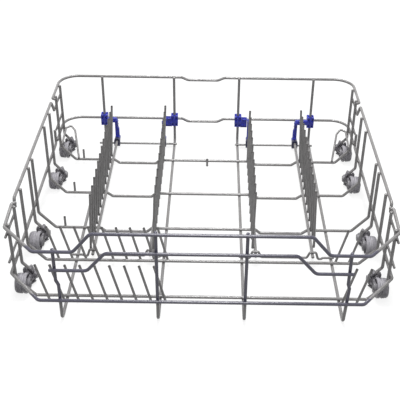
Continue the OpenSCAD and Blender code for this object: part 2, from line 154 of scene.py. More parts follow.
class RackColours(bpy.types.PropertyGroup):
    """Colours of the finishes."""

    wire: FloatVectorProperty(
        name="Wire coating", description="Grey of the nylon coating",
        default=linear("989696"), size=3, min=0, max=1, subtype="COLOR",
    )
    # Painted shade: a darker, bluer grey laid on the front wires above the feet in place of their shade.
    front_wire_shade: FloatVectorProperty(
        name="Painted front wire shade", description="Darker, bluer grey painted on the front wires as shade",
        default=linear("47465c"), size=3, min=0, max=1, subtype="COLOR",
    )
    tip: FloatVectorProperty(
        name="Tine tips", description="Grey of the thicker coating on the tips of the tines",
        default=linear("4a4848"), size=3, min=0, max=1, subtype="COLOR",
    )
    clip: FloatVectorProperty(
        name="Clips", description="Blue of the locks and release levers",
        default=linear("3a44cc"), size=3, min=0, max=1, subtype="COLOR",
    )
    bearing: FloatVectorProperty(
        name="Bearings", description="Near black of the rear bearings",
        default=linear("20224a"), size=3, min=0, max=1, subtype="COLOR",
    )
    tread: FloatVectorProperty(
        name="Roller tread", description="Light grey of the rollers' treads",
        default=linear("b2b0b6"), size=3, min=0, max=1, subtype="COLOR",
    )
    carrier: FloatVectorProperty(
        name="Carriers", description="Darker grey of the carriers and the rollers' inner flanges",
        default=linear("88868b"), size=3, min=0, max=1, subtype="COLOR",
    )


# ---------------------------------------------------------------- small helpers

def add_node(tree, kind, settings=(), inputs=()):
    """Adds a node, sets its properties, and fills or links its inputs by name or index."""
    made = tree.nodes.new(kind)
    for key, value in dict(settings).items():
        setattr(made, key, value)
    for key, value in dict(inputs).items():
        if isinstance(value, bpy.types.NodeSocket):
            tree.links.new(value, made.inputs[key])
        else:
            made.inputs[key].default_value = value
    return made


def rgba(colour):
    """A colour with full alpha."""
    return (*colour, 1.0)


def new_object(name, mesh, material=None):
    """An object at the origin, with its place in its mesh."""
    made = bpy.data.objects.new(name, mesh)
    bpy.context.scene.collection.objects.link(made)
    if material:
        mesh.materials.append(material)
    return made


def smooth(mesh, angle=35):
    """Smooth shading with sharp edges over an angle."""
    mesh.shade_smooth()
    mesh.set_sharp_from_angle(angle=math.radians(angle))


def final_mesh(obj):
    """The plain mesh of an object with its modifiers, which are then removed with it."""
    bpy.context.view_layer.update()
    evaluated = obj.evaluated_get(bpy.context.evaluated_depsgraph_get())
    mesh = bpy.data.meshes.new_from_object(evaluated)
    bpy.data.objects.remove(obj)
    return mesh


def seat(obj, body, slot, *nodes):
    """Puts a finished piece on its body, in the place of the nodes that it stands for."""
    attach(obj, body)
    if nodes:
        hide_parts(*nodes)


def lathe(bm, profile, steps, place):
    """Turns a closed profile of (along, radius) points about the along axis, into one closed ring."""
    rings = []
    for along, radius in profile:
        rings.append([
            bm.verts.new(place @ Vector((
                along,
                radius * math.cos(2 * math.pi * k / steps),
                radius * math.sin(2 * math.pi * k / steps),
            )))
            for k in range(steps)
        ])
    for a, b in zip(rings, rings[1:] + rings[:1]):
        for k in range(steps):
            bm.faces.new((a[k], a[k - 1], b[k - 1], b[k]))
    return rings


def slab(bm, low, high, edge=0.0):
    """A block between two corners, in mm, with its edges bevelled if asked."""
    low, high = Vector(low), Vector(high)
    made = bmesh.ops.create_cube(
        bm, size=1, matrix=Matrix.Translation((low + high) / 2) @ Matrix.Diagonal((*(high - low), 1)),
    )
    if edge:
        edges = list({e for v in made["verts"] for e in v.link_edges})
        bmesh.ops.bevel(bm, geom=edges, offset=edge, segments=2, affect="EDGES", profile=0.5)


def span(x, a, b):
    """The lower and the higher of two places measured from x."""
    return sorted((x + a, x + b))


def plate(bm, outline, y0, y1):
    """A prism in mm from an outline of (x, z) points, between two places along Y."""
    near = [bm.verts.new((x, y0, z)) for x, z in outline]
    far = [bm.verts.new((x, y1, z)) for x, z in outline]
    bm.faces.new(near)
    bm.faces.new(far[::-1])
    for k in range(len(outline)):
        bm.faces.new((near[k - 1], far[k - 1], far[k], near[k]))


# ---------------------------------------------------------------- the wires' routes

def mirrored(half):
    """A route mirrored to the right and joined to itself."""
    return half + [(-x, y, z) for x, y, z in reversed(half)]


def rear_route(z, ends):
    """The rear outline at a height, with the recess in its middle."""
    middle = [
        (-RAIL_X, REAR_Y, z), (-43.5, REAR_Y, z), (-32.5, REAR_Y - 10.4, z),
        (20, REAR_Y - 10.4, z), (31, REAR_Y, z), (RAIL_X, REAR_Y, z),
    ]
    return ends + middle + [(-x, y, z) for x, y, z in reversed(ends)]


def cross_route(y, top, dips):
    """A cross wire: down one side, over the floor and up the other side."""
    half = [(-UPRIGHT_X, y, top), (-UPRIGHT_X, y, FOOT_Z), (-FLOOR_HALF, y, CROSS_Z)]
    if dips:
        half += [(-158.5, y, CROSS_Z), (-150, y, DIP_Z), (-86.5, y, DIP_Z), (-79.5, y, CROSS_Z)]
    return mirrored(half)


def run_route(rear_x, foot_x, knee_x, top_x, top):
    """A floor run: down at the rear, along the floor and up at the front."""
    return [
        (rear_x, LEG_Y, RIM_Z + 1), (rear_x, LEG_Y, RUN_Z), (foot_x, -LEG_Y, RUN_Z),
        (knee_x, -LEG_Y, RING_Z + 13), (top_x, -LEG_Y, RING_Z + 20), (top_x, -LEG_Y, top),
    ]


def rack_routes():
    """(node, radius, points in mm) of each wire that is welded into the rack."""
    routes = [
        ("rim_rear", FRAME_R, rear_route(RIM_Z, [(-249.4, 153.25, RIM_Z), (-RAIL_X, 156.25, RIM_Z)])),
        ("ring_rear", FRAME_R, rear_route(RING_Z - 1, [(-RAIL_X, 159.25, RING_Z - 1)])),
        ("rim_front", FRAME_R, mirrored([
            (-249.4, -153.45, RIM_Z), (-RAIL_X, -156.45, RIM_Z), (-RAIL_X, CORNER_Y, LEG_Z),
            (-CORNER_X, FRONT_Y, 117), (-161, FRONT_Y, 117), (-137.5, FRONT_Y, 145.3),
        ])),
        ("bar_front", FRAME_R, mirrored([
            (-193, FRONT_Y, 87.8), (-145, FRONT_Y, 87.8), (-121, FRONT_Y, 115.8),
        ])),
        ("ring_lower", FRAME_R, mirrored([
            (-RAIL_X, 148.25, RING_Z + 24), (-RAIL_X, 147.75, RING_Z), (-RAIL_X, CORNER_Y, RING_Z),
            (-CORNER_X, FRONT_Y, 38),
        ])),
        ("run_1", FRAME_R, run_route(-182.5, -184, -184, -187, 118)),
        ("run_2", FRAME_R, run_route(-57, -57, -57, -57, 146.3)),
        ("run_3", FRAME_R, run_route(57, 57, 57, 57, 146.3)),
        ("run_4", FRAME_R, run_route(187, 188, 190.8, 188.5, 118)),
    ]
    for i, y in enumerate(CROSS_Y):
        top = LEG_Z + 1.3 if i == 4 else RIM_Z + 1
        routes.append((f"cross_{i + 1}", FRAME_R, cross_route(y, top, i < 3)))
    for side in (-1, 1):
        name = "left" if side < 0 else "right"
        x = side * UPRIGHT_X
        routes.append((f"rail_{name}", FRAME_R, [
            (side * 250.4, 141.75, 113), (side * RAIL_X, 142.25, RIM_Z),
            (side * RAIL_X, -141.95, RIM_Z), (side * RAIL_X, -142.45, 114),
        ]))
        for i, y in enumerate(SHORT_Y):
            top = RIM_Z + (0.4 if i == 3 else 1)
            routes.append((f"uprights_{name}", FRAME_R, [
                (x, y, top), (x, y, FOOT_Z), (side * SHORT_END_X, y, SHORT_END_Z),
            ]))
        tie = x + side * 3.9
        for z in (RING_Z + 21, RING_Z + 58):
            routes.append(("side_stubs", THIN_R, [(tie, 156.25, z), (tie, 215.25, z)]))
        for z in (RING_Z + 21, RING_Z + 61.5):
            routes.append(("side_stubs", THIN_R, [(tie, -206.95, z), (tie, -153.45, z)]))
        stay_x = UPRIGHT_X - 3.9
        routes.append((f"stay_{name}", THIN_R, [
            (side * stay_x, 157.25, 42), (side * stay_x, 203.25, 47.5), (side * (stay_x - 8), 210.25, 48),
            (side * (stay_x - 15.5), 202.25, 43), (side * (stay_x - 26), 160.25, 12.6),
        ]))
        hump = [(15.5, THIN_Z), (13, THIN_Z - 2), (8.5, THIN_Z - 2), (4.8, 17.54), (-4, 17.54), (-8, THIN_Z)]
        route = [(side * 191, HINGE_Y, THIN_Z)]
        route += [(side * (160 + dx), HINGE_Y, z) for dx, z in hump]
        route += [(side * (77 - dx), HINGE_Y, z) for dx, z in reversed(hump)]
        route.append((side * 53, HINGE_Y, THIN_Z))
        routes.append((f"hinge_wire_{name}", THIN_R, route))
        routes.append((f"rear_wire_{name}", THIN_R, [
            (side * 53, REAR_WIRE_Y, THIN_Z), (side * 191, REAR_WIRE_Y, THIN_Z),
        ]))
        count, edge = (9, 17.5) if side < 0 else (2, 13.5)
        for node, y, inset, low in (
            ("fixed_tines_rear", CROSS_Y[3] + 3.95, edge, CROSS_Z - 2),
            ("fixed_tines_front", CROSS_Y[4] - 3.95, edge + 1, CROSS_Z - 4),
        ):
            rise = CROSS_Z + 55 - low
            for k in range(count):
                x_foot = FLOOR_HALF - inset - k * FIXED_PITCH
                routes.append((node, TINE_R, [
                    (side * x_foot, y, low), (side * (x_foot + rise * FIXED_LEAN), y, low + rise),
                ]))
    for y in CROSS_Y[:3]:
        routes.append(("pegs", TINE_R, [(-212.2, y + 3.95, CROSS_Z - 2), (-212.2, y + 3.95, CROSS_Z + 16.5)]))
    routes.append(("pegs", TINE_R, [(3, CROSS_Y[0] - 3.95, 0.4), (3, CROSS_Y[0] - 3.95, CROSS_Z + 5.5)]))
    return routes


def row_routes(i):
    """(node, radius, points in mm) of the wires of one folding row."""
    tilt = math.radians(COMB_TILT[i])

    def placed(x, y, z):
        return (COMB_X[i] + x * math.cos(tilt) + z * math.sin(tilt), y, BASE_Z - x * math.sin(tilt) + z * math.cos(tilt))

    node = f"comb_{i + 1}"
    routes = [(node, FRAME_R, [placed(0, HINGE_Y - 6, 0), placed(0, REAR_WIRE_Y + 11, 0)])]
    x = COMB_OUT[i] * (FRAME_R + TINE_R + 0.02)
    for k in range(COMB_COUNT[i]):
        y = COMB_FIRST[i] + k * COMB_PITCH
        routes.append((node, TINE_R, [placed(x, y, -1), placed(x, y, COMB_HEIGHT)]))
    return routes


def straights(routes):
    """(route number, radius, start, end) of every straight stretch over 6 mm long."""
    found = []
    for number, (_, radius, points) in enumerate(routes):
        for a, b in zip(points, points[1:]):
            a, b = Vector(a), Vector(b)
            if (b - a).length > 6:
                found.append((number, radius, a, b))
    return found


def weld_sites(routes):
    """(middle, along, across, size) of each place where two wires cross and touch."""
    sites = []
    parts = straights(routes)
    for i, (n1, r1, a1, b1) in enumerate(parts):
        for n2, r2, a2, b2 in parts[i + 1:]:
            if n1 == n2:
                continue
            near = intersect_line_line(a1, b1, a2, b2)
            if near is None:
                continue
            p, q = near
            d1, d2 = b1 - a1, b2 - a2
            t1, t2 = (p - a1).dot(d1) / d1.length_squared, (q - a2).dot(d2) / d2.length_squared
            if not (0 < t1 < 1 and 0 < t2 < 1) or abs((q - p).length - r1 - r2) > 0.3:
                continue
            if abs(d1.normalized().dot(d2.normalized())) > 0.7:
                continue
            up = (q - p).normalized()
            middle = p + up * (r1 - (r1 + r2 - (q - p).length) / 2)
            sites.append((middle, up, d2.normalized(), (r1 + r2) / (2 * FRAME_R)))
    return sites


def free_ends(routes, hidden):
    """(end, direction, radius, node) of each wire end that shows."""
    ends = []
    for node, radius, points in routes:
        for tip, before in ((points[0], points[1]), (points[-1], points[-2])):
            tip, before = Vector(tip), Vector(before)
            if not hidden(node, radius, tip):
                ends.append((tip, (tip - before).normalized(), radius, node))
    return ends


# ---------------------------------------------------------------- Geometry Nodes

def scatter_tree():
    """A tree that sets a small shape on each point of a mesh, turned and sized by the point's own values."""
    tree = bpy.data.node_groups.new("Shapes on points", "GeometryNodeTree")
    sockets = tree.interface
    sockets.new_socket("Points", in_out="INPUT", socket_type="NodeSocketGeometry")
    sockets.new_socket("Shape", in_out="INPUT", socket_type="NodeSocketObject")
    growth = sockets.new_socket("Growth", in_out="INPUT", socket_type="NodeSocketFloat")
    growth.default_value = 1.0
    sockets.new_socket("Finish", in_out="INPUT", socket_type="NodeSocketMaterial")
    sockets.new_socket("Pieces", in_out="OUTPUT", socket_type="NodeSocketGeometry")
    given = add_node(tree, "NodeGroupInput")
    turn = add_node(tree, "GeometryNodeInputNamedAttribute", {"data_type": "FLOAT_VECTOR"}, {"Name": "turn"})
    size = add_node(tree, "GeometryNodeInputNamedAttribute", {"data_type": "FLOAT_VECTOR"}, {"Name": "size"})
    shape = add_node(tree, "GeometryNodeObjectInfo", {}, {"Object": given.outputs["Shape"]})
    rotation = add_node(tree, "FunctionNodeEulerToRotation", {}, {"Euler": turn.outputs["Attribute"]})
    scale = add_node(tree, "ShaderNodeVectorMath", {"operation": "SCALE"}, {
        0: size.outputs["Attribute"], "Scale": given.outputs["Growth"],
    })
    placed = add_node(tree, "GeometryNodeInstanceOnPoints", {}, {
        "Points": given.outputs["Points"], "Instance": shape.outputs["Geometry"],
        "Rotation": rotation.outputs["Rotation"], "Scale": scale.outputs["Vector"],
    })
    real = add_node(tree, "GeometryNodeRealizeInstances", {}, {"Geometry": placed.outputs["Instances"]})
    coated = add_node(tree, "GeometryNodeSetMaterial", {}, {
        "Geometry": real.outputs["Geometry"], "Material": given.outputs["Finish"],
    })
    add_node(tree, "NodeGroupOutput", {}, {"Pieces": coated.outputs["Geometry"]})
    return tree


def scatter(name, sites, shape, material):
    """A piece made of one shape on each site, which is (place in mm, turn, size)."""
    tree = bpy.data.node_groups.get("Shapes on points") or scatter_tree()
    points = bpy.data.meshes.new(name + "_points")
    points.from_pydata([place * MM for place, _, _ in sites], [], [])
    for key, column in (("turn", 1), ("size", 2)):
        values = points.attributes.new(key, "FLOAT_VECTOR", "POINT")
        values.data.foreach_set("vector", [c for site in sites for c in site[column]])
    carrier = new_object(name + "_points", points)
    modifier = carrier.modifiers.new("Shapes on points", "NODES")
    modifier.node_group = tree
    given = {"Shape": shape, "Growth": 1.0, "Finish": material}
    for item in tree.interface.items_tree:
        if item.in_out == "INPUT" and item.name in given:
            modifier[item.identifier] = given[item.name]
    mesh = final_mesh(carrier)
    mesh.name = name
    for key in ("turn", "size"):
        left = mesh.attributes.get(key)
        if left:
            mesh.attributes.remove(left)
    smooth(mesh, 60)
    return new_object(name, mesh)


def weld_shape(sizes):
    """The ring of coating that fills the crevice round a weld of two frame wires, at its real size."""
    bm = bmesh.new()
    reach, waist, r = sizes.weld_reach / MM, sizes.weld_waist / MM, FRAME_R
    steps, rows = 20, 5
    loops = []
    for k in range(steps):
        angle = 2 * math.pi * k / steps
        loop = []
        for j in range(rows):
            s = 2 * j / (rows - 1) - 1
            rho = waist + (reach - waist) * s * s
            x, y = rho * math.cos(angle), rho * math.sin(angle)
            above = r - math.sqrt(r * r - y * y) + 0.06
            below = -(r - math.sqrt(r * r - x * x)) - 0.06
            loop.append((x, y, below + (above - below) * (s + 1) / 2))
        for z in (0.02, -0.02):
            loop.append((0.4 * math.cos(angle), 0.4 * math.sin(angle), z))
        loops.append([bm.verts.new(Vector(p) * MM) for p in loop])
    for a, b in zip(loops, loops[1:] + loops[:1]):
        for j in range(len(a)):
            bm.faces.new((a[j - 1], a[j], b[j], b[j - 1]))
    bmesh.ops.recalc_face_normals(bm, faces=bm.faces)
    mesh = bpy.data.meshes.new("weld_shape")
    bm.to_mesh(mesh)
    bm.free()
    return new_object("weld_shape", mesh)


def tip_shape(sizes):
    """The dome of coating on a wire end, for a wire of 1 m radius, so that a site's size makes it real."""
    bm = bmesh.new()
    steps = 16
    rise = sizes.tip_rise
    profile = [(-0.35, 1.005), (-0.2, 1.025), (0.0, 1.02)]
    profile += [(rise * math.sin(t), 1.02 * math.cos(t)) for t in (0.4, 0.8, 1.2)]
    rings = [
        [bm.verts.new((rho * math.cos(2 * math.pi * k / steps), rho * math.sin(2 * math.pi * k / steps), z)) for k in range(steps)]
        for z, rho in profile
    ]
    for a, b in zip(rings, rings[1:]):
        for k in range(steps):
            bm.faces.new((a[k - 1], a[k], b[k], b[k - 1]))
    for ring, z in ((rings[0], -0.35), (rings[-1], rise)):
        middle = bm.verts.new((0, 0, z))
        for k in range(steps):
            bm.faces.new((ring[k - 1], ring[k], middle))
    bmesh.ops.recalc_face_normals(bm, faces=bm.faces)
    mesh = bpy.data.meshes.new("tip_shape")
    bm.to_mesh(mesh)
    bm.free()
    return new_object("tip_shape", mesh)


# ---------------------------------------------------------------- materials

def plastic(name, colour, second, patch, rough, ior, grain, depth, spread=0.5):
    """A moulded or coated plastic: two tones in soft patches, uneven gloss and a fine grain.

    patch and grain are the real sizes of the patches and of the grain in mm, and depth is the
    grain's height in mm.
    """
    made = bpy.data.materials.new(name)
    made.use_nodes = True
    tree = made.node_tree
    tree.nodes.clear()
    place = add_node(tree, "ShaderNodeTexCoord").outputs["Object"]
    patches = add_node(tree, "ShaderNodeTexNoise", {}, {
        "Vector": place, "Scale": 1 / (patch * MM), "Detail": 4.0, "Roughness": 0.6,
    })
    tone = add_node(tree, "ShaderNodeMapRange", {}, {
        0: patches.outputs["Fac"], 1: 0.5 - spread / 2, 2: 0.5 + spread / 2, 3: 0.0, 4: 1.0,
    })
    base = add_node(tree, "ShaderNodeMix", {"data_type": "RGBA"}, {
        0: tone.outputs[0], 6: rgba(colour), 7: rgba(second),
    })
    fine = add_node(tree, "ShaderNodeTexNoise", {}, {
        "Vector": place, "Scale": 1 / (grain * MM), "Detail": 3.0, "Roughness": 0.55,
    })
    gloss = add_node(tree, "ShaderNodeMapRange", {}, {
        0: fine.outputs["Fac"], 1: 0.3, 2: 0.7, 3: rough - 0.07, 4: rough + 0.07,
    })
    bump = add_node(tree, "ShaderNodeBump", {}, {
        "Strength": 0.6, "Distance": depth * MM, "Height": fine.outputs["Fac"],
    })
    shader = add_node(tree, "ShaderNodeBsdfPrincipled", {}, {
        "Base Color": base.outputs[2], "Roughness": gloss.outputs[0], "IOR": ior,
        "Normal": bump.outputs["Normal"],
    })
    add_node(tree, "ShaderNodeOutputMaterial", {}, {"Surface": shader.outputs["BSDF"]})
    return made


def shade(colour, share):
    """A colour made lighter or darker by a share."""
    return [min(1.0, c * share) for c in colour]


def coated_wire(colours):
    """Nylon on steel wire, dipped in a bed of powder and fused: an even satin grey skin.

    It gives the eye a soft highlight along each wire, faint mottling a few centimetres long and an
    orange peel of about 1.5 mm. Along the front, above the feet, a darker, bluer grey is painted on
    as shade, for the darker light those wires stood in.
    """
    made = plastic(
        "Nylon coated steel wire", colours.wire, shade(colours.wire, 0.7), 14, 0.2, 1.53, 1.5, 0.02,
    )
    tree = made.node_tree
    mix = next(n for n in tree.nodes if n.bl_idname == "ShaderNodeMix")
    shader = next(n for n in tree.nodes if n.bl_idname == "ShaderNodeBsdfPrincipled")
    place = next(n for n in tree.nodes if n.bl_idname == "ShaderNodeTexCoord").outputs["Object"]
    axes = add_node(tree, "ShaderNodeSeparateXYZ", {}, {0: place})
    # Painted shade: the wires along the front, above the feet, are mixed towards the darker, bluer grey.
    front = add_node(tree, "ShaderNodeMapRange", {"interpolation_type": "SMOOTHSTEP"}, {
        0: axes.outputs["Y"], 1: -0.2355, 2: -0.2395, 3: 0.0, 4: 0.85,
    })
    raised = add_node(tree, "ShaderNodeMapRange", {"interpolation_type": "SMOOTHSTEP"}, {
        0: axes.outputs["Z"], 1: 0.030, 2: 0.036,
    })
    share = add_node(tree, "ShaderNodeMath", {"operation": "MULTIPLY"}, {0: front.outputs[0], 1: raised.outputs[0]})
    front_shade = add_node(tree, "ShaderNodeMix", {"data_type": "RGBA"}, {
        0: share.outputs[0], 6: mix.outputs[2], 7: rgba(colours.front_wire_shade),
    })
    tree.links.new(front_shade.outputs[2], shader.inputs["Base Color"])
    return made


def material(key):
    """One of the finishes, made once."""
    colours = bpy.context.scene.rack_colours
    makers = {
        "wire": lambda: coated_wire(colours),
        # Nylon that has pooled on a cut end and has been knocked by crockery: darker and duller.
        "tip": lambda: plastic(
            "Worn nylon on tine tips", colours.tip, shade(colours.tip, 0.7), 3, 0.55, 1.53, 0.8, 0.03),
        # Acetal, moulded in polished steel: deep blue, semi gloss, with paler flow marks.
        "clip": lambda: plastic(
            "Moulded blue acetal", colours.clip, shade(colours.clip, 0.45), 5, 0.28, 1.48, 0.7, 0.015),
        # Acetal with carbon black: nearly black, semi gloss.
        "bearing": lambda: plastic(
            "Moulded black acetal", colours.bearing, shade(colours.bearing, 0.6), 6, 0.36, 1.48, 0.7, 0.015),
        # Polypropylene, moulded with a spark-eroded skin: light grey and dull, scuffed by the door.
        "tread": lambda: plastic(
            "Moulded grey polypropylene", colours.tread, shade(colours.tread, 0.7), 5, 0.42, 1.49, 0.8, 0.04),
        # Filled polypropylene: mid grey, dull, uneven where the melt fronts met.
        "carrier": lambda: plastic(
            "Filled grey polypropylene", colours.carrier, shade(colours.carrier, 0.5), 5, 0.4, 1.49, 0.8, 0.04),
    }
    names = {
        "wire": "Nylon coated steel wire", "tip": "Worn nylon on tine tips", "clip": "Moulded blue acetal",
        "bearing": "Moulded black acetal", "tread": "Moulded grey polypropylene",
        "carrier": "Filled grey polypropylene",
    }
    return bpy.data.materials.get(names[key]) or makers[key]()


# ---------------------------------------------------------------- moulded pieces

def merged_copy(node):
    """A CAD node's mesh as one clean solid, in mm, in which flat areas are single faces."""
    bm = bmesh.new()
    bm.from_mesh(NODES[node].data)
    bmesh.ops.remove_doubles(bm, verts=bm.verts, dist=2e-6)
    bmesh.ops.scale(bm, vec=(1 / MM,) * 3, verts=bm.verts)
    bmesh.ops.dissolve_limit(
        bm, angle_limit=math.radians(0.5), verts=bm.verts, edges=bm.edges, use_dissolve_boundaries=False,
    )
    return bm


def recess(bm, normal, least, margin, depth):
    """Sinks a panel into each flat face that points along normal and is at least that large."""
    for face in [f for f in bm.faces if f.normal.dot(Vector(normal)) > 0.999 and f.calc_area() > least]:
        if len(face.verts) <= 6:
            bmesh.ops.inset_region(bm, faces=[face], thickness=margin, depth=0)
            bmesh.ops.translate(bm, verts=face.verts, vec=Vector(normal) * -depth)


def moulded(name, bm, material_key, extra=None, pockets=None):
    """A moulded piece from a mesh in mm.

    The pockets are cut from it, its edges are rounded, and then the extra mesh joins it.
    """
    sizes = bpy.context.scene.rack_sizes
    mesh = bpy.data.meshes.new(name)
    bmesh.ops.scale(bm, vec=(MM,) * 3, verts=bm.verts)
    bm.to_mesh(mesh)
    bm.free()
    body = new_object(name + "_raw", mesh)
    if pockets is not None:
        bmesh.ops.scale(pockets, vec=(MM,) * 3, verts=pockets.verts)
        bmesh.ops.recalc_face_normals(pockets, faces=pockets.faces)
        hollow = bpy.data.meshes.new(name + "_pockets")
        pockets.to_mesh(hollow)
        pockets.free()
        cutter = new_object(name + "_pockets", hollow)
        cut = body.modifiers.new("Pockets", "BOOLEAN")
        cut.operation = "DIFFERENCE"
        cut.solver = "EXACT"
        cut.object = cutter
        cut_mesh = final_mesh(body)
        bpy.data.objects.remove(cutter)
        if len(cut_mesh.polygons) < 12:
            raise RuntimeError(f"the pockets of {name} could not be cut")
        body = new_object(name + "_cut", cut_mesh)
    bevel = body.modifiers.new("Rounded edges", "BEVEL")
    bevel.width = sizes.mould_edge
    bevel.segments = 2
    bevel.limit_method = "ANGLE"
    bevel.angle_limit = math.radians(40)
    bevel.use_clamp_overlap = True
    mesh = final_mesh(body)
    mesh.name = name
    if extra is not None:
        bmesh.ops.scale(extra, vec=(MM,) * 3, verts=extra.verts)
        bmesh.ops.recalc_face_normals(extra, faces=extra.faces)
        extra.from_mesh(mesh)
        extra.to_mesh(mesh)
        extra.free()
    smooth(mesh)
    mesh.materials.clear()
    return new_object(name, mesh, material(material_key))


def roller_mesh(sizes):
    """A roller in mm: its axle lies along X and its inner face at X 0."""
    bm = bmesh.new()
    w, r = ROLLER_W, ROLLER_R
    flange = [
        (0.0, 3.5), (0.0, 5.8), (0.3, 6.15), (2.1, 6.25), (2.4, 6.6), (2.4, 11.6), (2.1, 11.95),
        (0.3, 12.05), (0.0, 12.4), (0.0, r - 1.2), (0.2, r - 0.6), (0.8, r), (3.9, r), (4.35, r - 0.3),
        (4.8, r - 1.7),
    ]
    tread = [(5.1, r - 1.8), (5.9, r - 1.8), (6.2, r - 1.7), (6.7, r - 0.45), (7.05, r - 0.15), (7.6, r)]
    depth = sizes.groove_depth / MM
    start, length = 7.6, w - 9.4
    for k in range(sizes.tread_grooves):
        t = (k + 1) / (sizes.tread_grooves + 1)
        a, top = start + t * length, r - CROWN * t * t
        tread += [(a - 0.7, top), (a - 0.4, top - depth), (a + 0.4, top - depth), (a + 0.7, top - 0.05)]
    rim_r = r - CROWN
    tread += [
        (w - 1.9, rim_r), (w - 1.4, rim_r - 0.2), (w - 0.9, rim_r - 0.6), (w - 0.2, rim_r - 1.2),
        (w, rim_r - 1.5), (w, rim_r - 1.9), (w - 0.2, rim_r - 2.15), (w - 1.0, rim_r - 2.25),
    ]
    hub = [(w - 1.0, 5.7), (w - 0.15, 5.5), (w, 5.3), (w, 3.5), (w - 0.4, AXLE_R)]
    profile = [(0.4, AXLE_R)] + flange + tread
    steps = 60
    place = Matrix.Identity(4)

    def strip(points):
        rings = []
        for along, radius in points:
            rings.append([
                bm.verts.new((along, radius * math.cos(2 * math.pi * k / steps), radius * math.sin(2 * math.pi * k / steps)))
                for k in range(steps)
            ])
        for a, b in zip(rings, rings[1:]):
            for k in range(steps):
                bm.faces.new((a[k], a[k - 1], b[k - 1], b[k]))
        return rings

    outside = strip(profile)
    inside = strip(hub)
    for k in range(steps):
        a, b = inside[-1], outside[0]
        bm.faces.new((a[k], a[k - 1], b[k - 1], b[k]))
    rim = [bm.edges.get((outside[-1][k - 1], outside[-1][k])) for k in range(steps)]
    rim += [bm.edges.get((inside[0][k - 1], inside[0][k])) for k in range(steps)]
    pocket_r, pocket_ring = 2.3, 8.4
    for n in range(sizes.spoke_count):
        turn = 2 * math.pi * n / sizes.spoke_count
        cy, cz = pocket_ring * math.cos(turn), pocket_ring * math.sin(turn)
        rings = []
        for along, radius in ((w - 1.0, pocket_r + 0.2), (w - 1.25, pocket_r), (w - 7, pocket_r - 0.15)):
            rings.append([
                bm.verts.new((along, cy + radius * math.cos(math.pi * k / 10), cz + radius * math.sin(math.pi * k / 10)))
                for k in range(20)
            ])
        for a, b in zip(rings, rings[1:]):
            for k in range(20):
                bm.faces.new((a[k], a[k - 1], b[k - 1], b[k]))
        bm.faces.new(rings[-1])
        rim += [bm.edges.get((rings[0][k - 1], rings[0][k])) for k in range(20)]
    bmesh.ops.triangle_fill(bm, use_beauty=True, use_dissolve=False, edges=rim, normal=(1, 0, 0))
    bmesh.ops.recalc_face_normals(bm, faces=bm.faces)
    mesh = bpy.data.meshes.new("roller")
    bm.to_mesh(mesh)
    bm.free()
    return mesh


# ---------------------------------------------------------------- operators

